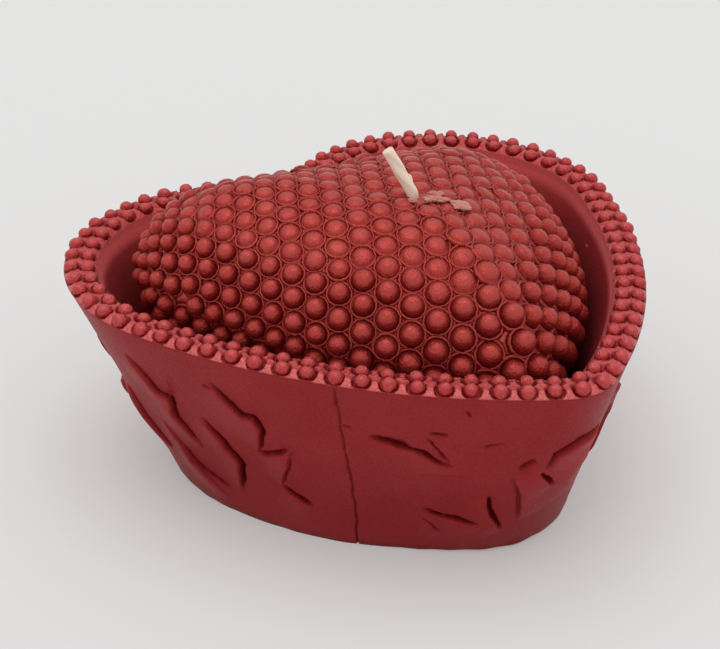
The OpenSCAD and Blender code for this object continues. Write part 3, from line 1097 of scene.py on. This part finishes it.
# %% How a bead changes with its place
SINK = 1.5
SOFT_SIDE = Vector((0.8, 0.6, 0)).normalized()
WICK_CLEAR = 3.0
SPIN_STEPS = 12
COLUMN_HEADING = ROW_HEADING + math.radians(60)
COLUMN_WAY = Vector((math.cos(COLUMN_HEADING), math.sin(COLUMN_HEADING), 0))
COLUMN_STRETCH = 0.08
SOFT_REACH = 2.0
SOFT_RANGE = (0.18, 0.55)
STEEP_RANGE = (0.07, 0.30)
STEEP_NOISE = 0.06
STEEP_NOISE_SIZE = 9
SOFT_LOSS = 0.7
WICK_TOP = 45


def soft_normal(place, normal):
    """The normal averaged over a patch, so that beads turn gently over the cleft's edge."""
    total = normal.copy()
    for k in range(6):
        aim = Matrix.Rotation(k * SIXTH, 3, normal) @ normal.orthogonal()
        total += on_core(place + aim.normalized() * SOFT_REACH)[1]
    return total.normalized()

# %% Section of a bead
# Half a section from the crown out, in shares of the spacing. The dome's points are at these
# angles, each with its painted shadow and its painted sheen. The rest step down into the
# groove, with painted shade, up over the ring, with a painted glint, and down to the skirt.
DOME_POINTS = ((32, 0.02, 0.30), (62, 0.25, 0.10), (98, 0.70, 0.0))
CROWN_SHEEN = 0.35
LIFT = 0.13
LIFT_BALL = 0.34
LIFT_SOFT = 0.06
LIFT_SPREAD = 0.014
WIDTH = 0.405
WIDTH_SOFT = 0.035
WIDTH_BALL = 0.020
RING = 0.070
RING_BALL = 0.015
RING_SOFT_LOSS = 0.8
SPREAD = 0.006
SKIRT = (0.50, -0.10)
RING_FOOT = 0.492


def bead_section(ball_like, softness):
    """Points (distance out, height, painted shadow, painted sheen) of a bead. Draws three random numbers.
    """
    lift = LIFT + LIFT_BALL * ball_like + LIFT_SOFT * softness + rng.gauss(0, LIFT_SPREAD)
    dark = 0.45 + 0.55 * ball_like
    wide = WIDTH + WIDTH_SOFT * softness - WIDTH_BALL * ball_like + rng.gauss(0, SPREAD)
    ring = (RING - RING_BALL * ball_like) * (1 - RING_SOFT_LOSS * softness) + rng.gauss(0, SPREAD)
    centre = 0.12 * ball_like - 0.03
    tall = lift - centre
    groove = -0.015 - 0.045 * ball_like
    section = [(0.0, lift, 0.0, CROWN_SHEEN)]
    for degrees, shadow, sheen in DOME_POINTS:
        a = math.radians(degrees)
        section.append((wide * math.sin(a), centre + tall * math.cos(a), shadow * dark, sheen))
    section.append((wide + 0.010, groove, 0.95 * dark, 0.0))
    section.append((wide + 0.050, ring, 0.05, 0.42))
    section.append((max(RING_FOOT, wide + 0.085), ring * 0.2, 0.3 * dark, 0.1))
    section.append((*SKIRT, 0.5 * dark, 0.0))
    return section


# %% Spin a section into a bead
CROWN_MERGE = 0.02


def spun_bead(section, pitch):
    """A closed bmesh of one bead at the origin, in mm, and its layer of shadow."""
    one = bmesh.new()
    shade_layer = one.verts.layers.float.new("hollow")
    bead_sheen_layer = one.verts.layers.float.new("painted_sheen")
    for r, h, shadow, sheen in section:
        v = one.verts.new((r * pitch, 0, h * pitch))
        v[shade_layer] = shadow
        v[bead_sheen_layer] = sheen
    one.verts.ensure_lookup_table()
    for i in range(len(section) - 1):
        one.edges.new((one.verts[i], one.verts[i + 1]))
    bmesh.ops.spin(one, geom=one.verts[:] + one.edges[:], cent=(0, 0, 0), axis=(0, 0, 1),
                   angle=math.tau, steps=SPIN_STEPS, use_merge=True)
    bmesh.ops.remove_doubles(one, verts=one.verts, dist=CROWN_MERGE)
    bmesh.ops.holes_fill(one, edges=[e for e in one.edges if e.is_boundary], sides=0)
    bmesh.ops.recalc_face_normals(one, faces=one.faces)
    return one, shade_layer


# %% Lay the beads on the candle
SKIRT_FROM = 0.46
SIDEWAYS_SHADE = 0.6
WOBBLE = 0.05
LUMPS = 0.12
LUMPS_SIZE = 2.6

rng = random.Random(11)
bead_bm = bmesh.new()
hollow_layer = bead_bm.verts.layers.float.new("hollow")
painted_sheen_layer = bead_bm.verts.layers.float.new("painted_sheen")
bead_info = []
for p in spots:
    place, normal = on_core(p)
    normal = soft_normal(place, normal)
    pitch = pitch_at(place)
    if math.hypot(place.x, place.y) < WICK_CLEAR and place.z > WICK_TOP:
        continue
    softness = float(smooth(*SOFT_RANGE, normal.dot(SOFT_SIDE)))
    steepness = 1 - normal.z + STEEP_NOISE * noise.noise(place / STEEP_NOISE_SIZE)
    ball_like = float(smooth(*STEEP_RANGE, steepness)) * (1 - SOFT_LOSS * softness)
    one, shade_layer = spun_bead(bead_section(ball_like, softness), pitch)
    flat = 1 - ball_like
    for v in one.verts:
        reach = math.hypot(v.co.x, v.co.y)
        if reach > SKIRT_FROM * pitch:
            sideways = (v.co.y / reach) ** 2
            v[shade_layer] *= 1 - flat * (1 - SIDEWAYS_SHADE * sideways)
        v.co.x *= 1 + COLUMN_STRETCH * flat
    along_column = (COLUMN_WAY - normal * COLUMN_WAY.dot(normal)).normalized()
    lay = Matrix((along_column, normal.cross(along_column), normal)).transposed().to_4x4()
    tip_x = Matrix.Rotation(rng.gauss(0, WOBBLE), 4, "X")
    tip_y = Matrix.Rotation(rng.gauss(0, WOBBLE), 4, "Y")
    wobble = tip_x @ tip_y
    seat = Matrix.Translation(place - normal * SINK) @ lay
    bmesh.ops.transform(one, matrix=seat @ wobble, verts=one.verts)
    for v in one.verts:
        v.co += Vector(noise.noise_vector(v.co / LUMPS_SIZE)) * LUMPS
    scratch = bpy.data.meshes.new("one_bead")
    one.to_mesh(scratch)
    one.free()
    bead_bm.from_mesh(scratch)
    bpy.data.meshes.remove(scratch)
    bead_info.append((place - normal * SINK, pitch))
print("candle beads", len(bead_info))
piece(bead_bm, "candle_beads", "candle", candle_wax)

# %% [markdown]
# ## Skin of the candle
# Between the beads the candle's own wax shows. The core's long thin faces couldn't take the
# small dips under the beads, so a voxel remesh gives the skin even faces first. The skin is
# then sunk a little and dipped where each bead sits. It gets painted shade round each bead's
# edge and a painted glint on the small triangles between the beads.

# %% Even faces for the skin
SKIN_VOXEL = 0.55

core_mesh = bpy.data.meshes.new("core")
core_bm.to_mesh(core_mesh)
core_bm.free()
core = bpy.data.objects.new("core", core_mesh)
scene.collection.objects.link(core)
remesh = core.modifiers.new("even", "REMESH")
remesh.mode = "VOXEL"
remesh.voxel_size = SKIN_VOXEL
evaluated = core.evaluated_get(bpy.context.evaluated_depsgraph_get())
skin_bm = bmesh.new()
skin_bm.from_mesh(evaluated.to_mesh())
evaluated.to_mesh_clear()
bpy.data.objects.remove(core)
bpy.data.meshes.remove(core_mesh)

# %% Dips under the beads
SKIN_FADE = (7.0, 12.0)
DIP = 0.30
DIP_RANGE = (0.40, 0.47)
EDGE_SHADE = 0.35
EDGE_RANGE = (0.56, 0.46)
GAP_GLINT = 0.90
GAP_FROM = (0.50, 0.56)
GAP_TO = (0.75, 0.62)

bead_tree = KDTree(len(bead_info))
for i, (p, _) in enumerate(bead_info):
    bead_tree.insert(p, i)
bead_tree.balance()
hollow_layer = skin_bm.verts.layers.float.new("hollow")
painted_sheen_layer = skin_bm.verts.layers.float.new("painted_sheen")
for v in skin_bm.verts:
    v.normal_update()
moves = []
for v in skin_bm.verts:
    depth = SINK * float(smooth(*SKIN_FADE, v.co.z))
    spot = v.co - v.normal * depth
    _, i, gap = bead_tree.find(spot)
    share = gap / bead_info[i][1]
    dip = 1 - float(smooth(*DIP_RANGE, share))
    # Painted shade round each bead's edge, and a painted glint on the small triangles between beads
    v[hollow_layer] = EDGE_SHADE * float(smooth(*EDGE_RANGE, share))
    v[painted_sheen_layer] = GAP_GLINT * float(smooth(*GAP_FROM, share)) * float(smooth(*GAP_TO, share))
    moves.append(spot - v.normal * (DIP * bead_info[i][1] * dip))
for v, spot in zip(skin_bm.verts, moves):
    v.co = spot
candle_skin = piece(skin_bm, "candle_skin", "candle", candle_wax)
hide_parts("candle")

# %% [markdown]
# ## Torn wax and crumbs
# The wax is torn where the wick was pulled, and a pale flake of it lies beside the wick. Such
# crumbs have no plan: each is a small ball, squashed flat and roughened with noise.

# %% Flake and crumbs
FLAKES = [
    # place, half sizes, heading in plan
    ((3.0, -3.6, 54.0), (2.5, 0.95, 0.55), -26),
    ((4.4, -1.6, 54.0), (1.5, 0.8, 0.42), -20),
    ((1.2, -3.3, 54.0), (1.0, 0.7, 0.40), 20),
    ((6.3, -6.6, 53.3), (2.0, 1.7, 0.42), -36),
    ((-1.9, -2.4, 54.0), (0.9, 0.5, 0.35), -50),
]
FLAKE_SINK = 0.75
COARSE_ROUGH = 0.40
COARSE_SCALE = 1.7
FINE_ROUGH = 0.30
TORN_SCALE = 4
CRUMB_SIDES = (0.6, 0.5)
CRUMB_HEADING = 40
INNER_WALL = Vector((-1, 0.4, 0.3)).normalized()
CRUMBS = [
    # place, half length
    ((42.2, -3.4, 33.0), 0.55), ((41.0, -6.0, 32.6), 0.7), ((40.0, -6.4, 30.4), 0.6),
    ((41.2, -4.2, 30.3), 0.35), ((30.9, -20.4, 32.3), 0.45),
]


def crumb(target, place, sizes, heading, normal):
    """One rough crumb of wax, with its long side along a heading in plan."""
    made = bmesh.ops.create_icosphere(target, subdivisions=3, radius=1)["verts"]
    for v in made:
        coarse = COARSE_ROUGH * noise.noise(v.co * COARSE_SCALE + Vector(place))
        fine = FINE_ROUGH * noise.noise(v.co * TORN_SCALE + Vector(place))
        v.co *= 1 + (coarse + fine)
    long = Vector((math.cos(math.radians(heading)), math.sin(math.radians(heading)), 0))
    long = (long - normal * long.dot(normal)).normalized()
    short = normal.cross(long)
    lay = Matrix((long, short, normal)).transposed().to_4x4()
    seat = Matrix.Translation(place) @ lay @ Matrix.Diagonal((*sizes, 1))
    bmesh.ops.transform(target, matrix=seat, verts=made)


flake_wax = wax(
    "flake_wax", shade_tint=(0.20, 0.04, 0.035), face=(0.60, 0.20, 0.165), pale_tone_and_sheen=(0.78, 0.38, 0.33),
    metallic=0.10, roughness=0.60, grain=1.4, pits=1.2, cloud_amount=1.6, bump=0.30,
)
bm = bmesh.new()
for place, sizes, heading in FLAKES:
    on_wax, normal = on_core(Vector(place))
    crumb(bm, on_wax - normal * FLAKE_SINK, sizes, heading, normal)
piece(bm, "wax_flakes", "candle", flake_wax)
bm = bmesh.new()
for place, size in CRUMBS:
    half_sizes = (size, size * CRUMB_SIDES[0], size * CRUMB_SIDES[1])
    crumb(bm, Vector(place), half_sizes, CRUMB_HEADING, INNER_WALL)
piece(bm, "wax_crumbs", "dish", flake_wax)

# %% [markdown]
# ## The wick
# The wick is waxed cotton, bent over where it leaves the wax. A curve with a bevel would give
# its line, but not its strands. So it is a rolled grid like the dish: rings of points follow
# the line, and a wave in each ring's radius, turned further at every ring, makes the strands
# wind round it.

# %% Wick
WICK_D = 2.2
WICK_BEND = math.radians(30)
WICK_HEADING = math.radians(143)
WICK_CURL = 3.0
WICK_OUT = 7.9
LOWER_BEND = 1.5
LONGER = 1.0
WICK_SIDES = 16
FOOT_RINGS = 12
BEND_RINGS = 5
FREE_RINGS = 26
# Strands: how many, how far they turn per mm, their height, and the wick's own unevenness
STRANDS = 3
STRAND_TURN = 1.1
STRAND_HEIGHT = 0.03
UNEVEN = 0.10
UNEVEN_STEP = 0.35
STRAND_SHADE = 0.5
# A loose thread stands out at one side: height above the bend, half length, how far, where
NICK_UP = 3.2
NICK_LONG = 0.6
NICK_OUT = 0.65
NICK_SIDE = 2.2

wick_low, wick_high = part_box("wick")
wick_foot = wick_low.z / MM
bend_z = (
    wick_high.z / MM - WICK_CURL * math.sin(WICK_BEND) - WICK_OUT * math.cos(WICK_BEND)
    - WICK_D / 2 * math.sin(WICK_BEND) - LOWER_BEND
)
spine = [(0.0, 0.0, z) for z in np.linspace(wick_foot, bend_z, FOOT_RINGS)]
spine += [(a, WICK_CURL * (1 - math.cos(a)), bend_z + WICK_CURL * math.sin(a))
          for a in np.linspace(0, WICK_BEND, BEND_RINGS)[1:]]
end = spine[-1]
spine += [(WICK_BEND, end[1] + s * math.sin(WICK_BEND), end[2] + s * math.cos(WICK_BEND))
          for s in np.linspace(0, WICK_OUT + LONGER, FREE_RINGS)[1:]]

# %% Rings of the wick
wick_rows = []
wick_hollow = []
for tilt_now, out_now, z in spine:
    free = float(smooth(bend_z - 2, bend_z + 1, z))
    ring = []
    dark = []
    for k in range(WICK_SIDES):
        a = -math.tau * k / WICK_SIDES
        strand = math.cos(STRANDS * a + z * STRAND_TURN)
        uneven = UNEVEN * noise.noise(Vector((a, z * UNEVEN_STEP, 3)))
        radius = WICK_D / 2 * (1 + free * (STRAND_HEIGHT * strand + uneven))
        along_nick = math.exp(-((z - bend_z - NICK_UP) / NICK_LONG) ** 2)
        radius += free * NICK_OUT * along_nick * max(0, math.cos(a + NICK_SIDE)) ** 4
        x, y = radius * math.cos(a), radius * math.sin(a)
        ring.append((out_now + x * math.cos(tilt_now), y, z - x * math.sin(tilt_now)))
        # Painted shade between the strands, where the cord is free
        dark.append(max(0, -strand) * STRAND_SHADE * free)
    wick_rows.append(ring)
    wick_hollow.append(dark)
wick_rows = np.array(wick_rows)
spin_wick = np.array([[math.cos(WICK_HEADING), math.sin(WICK_HEADING)],
                      [-math.sin(WICK_HEADING), math.cos(WICK_HEADING)]])
wick_rows[..., :2] = wick_rows[..., :2] @ spin_wick
cotton = wax(
    "wick_cotton", shade_tint=(0.70, 0.50, 0.38), face=(0.97, 0.78, 0.62), pale_tone_and_sheen=(0.99, 0.90, 0.78),
    metallic=0.0, roughness=0.62, grain=0.6, pits=0.3, cloud_amount=0.5, bump=0.12,
)
wick_marks = {"hollow": np.array(wick_hollow), "painted_sheen": np.zeros(wick_rows.shape[:2])}
wick_bm = rolled(wick_rows, wick_marks)
wick_piece = piece(wick_bm, "wick_cord", "candle", cotton)
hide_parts("wick")

# %% [markdown]
# ## The wick holder
# A pressed tinplate disc grips the wick under the candle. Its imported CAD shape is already
# right, so it only gets a material: a full metal, with noise stretched along one axis for the
# faint lines that rolling leaves.

# %% Wick holder
ROLLED_LINES = (1, 14, 1)
LINE_SCALE = 900
TIN_DARK = (0.42, 0.42, 0.41, 1)
TIN_PALE = (0.66, 0.66, 0.64, 1)
TIN_ROUGHNESS = 0.22
TIN_ROUGH_RANGE = 0.3

tin = bpy.data.materials.new("tinplate")
tin.use_nodes = True
n = Nodes(tin.node_tree)
shader = n.tree.nodes["Principled BSDF"]
place = n.add("ShaderNodeTexCoord").outputs["Object"]
stretched = n.add("ShaderNodeMapping", {"Vector": place, "Scale": ROLLED_LINES}).outputs[0]
brushed = n.noise(stretched, LINE_SCALE, 2)
shader.inputs["Metallic"].default_value = 1.0
n.tree.links.new(n.mix(brushed, TIN_DARK, TIN_PALE), shader.inputs["Base Color"])
rougher = n.math("MULTIPLY", brushed, TIN_ROUGH_RANGE)
n.tree.links.new(n.math("ADD", rougher, TIN_ROUGHNESS), shader.inputs["Roughness"])
holder_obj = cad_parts["wick_holder"]
for holder_slot in holder_obj.material_slots:
    holder_slot.material = tin
if not holder_obj.material_slots:
    holder_obj.data.materials.append(tin)
